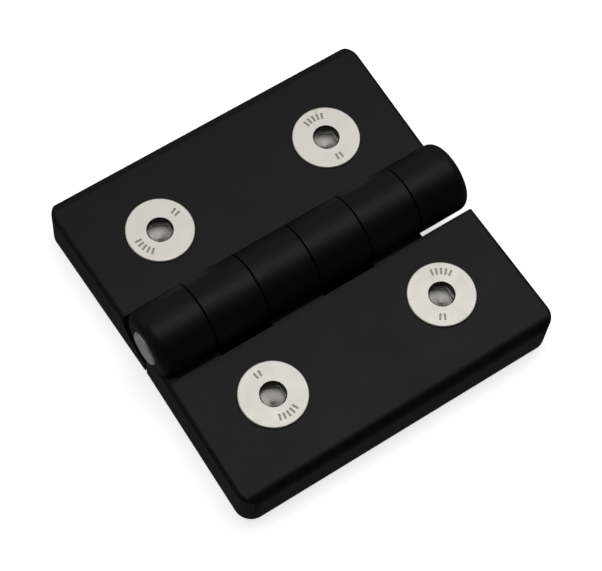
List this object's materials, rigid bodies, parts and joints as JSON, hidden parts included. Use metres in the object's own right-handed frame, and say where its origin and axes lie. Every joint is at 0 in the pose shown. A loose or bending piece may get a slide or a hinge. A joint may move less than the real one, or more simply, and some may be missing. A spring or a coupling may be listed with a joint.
{
  "type": "door hinge",
  "caption": "Black surface-mounted door hinge: two flat leaves with interleaved knuckles on a steel pin, fixed by countersunk socket screws.",
  "frame": {"origin": "in the plane that both leaves are fastened against, below the pin axis at mid length", "axes": "+X along the pin, +Y from the pin axis toward the rear leaf's outer edge, +Z away from the mounting plane toward the barrel"},
  "size_m": [0.06, 0.0612, 0.0161],
  "materials": {
    "leaf": "black moulded plastic, fine satin texture",
    "pin": "ground steel, turned end faces",
    "screw": "stainless steel, fine matt face"
  },
  "bodies": {
    "rear_half": {"rear_leaf": "leaf", "hinge_pin": "pin", "screw_rear_left": "screw", "screw_rear_right": "screw"},
    "front_half": {"front_leaf": "leaf", "screw_front_left": "screw", "screw_front_right": "screw"}
  },
  "joints": [
    {"name": "leaf_swing", "type": "hinge", "parent": "rear_half", "child": "front_half", "pos_m": [0, 0, 0.01], "axis": [-1, 0, 0], "range_deg": [0, 180]}
  ]
}
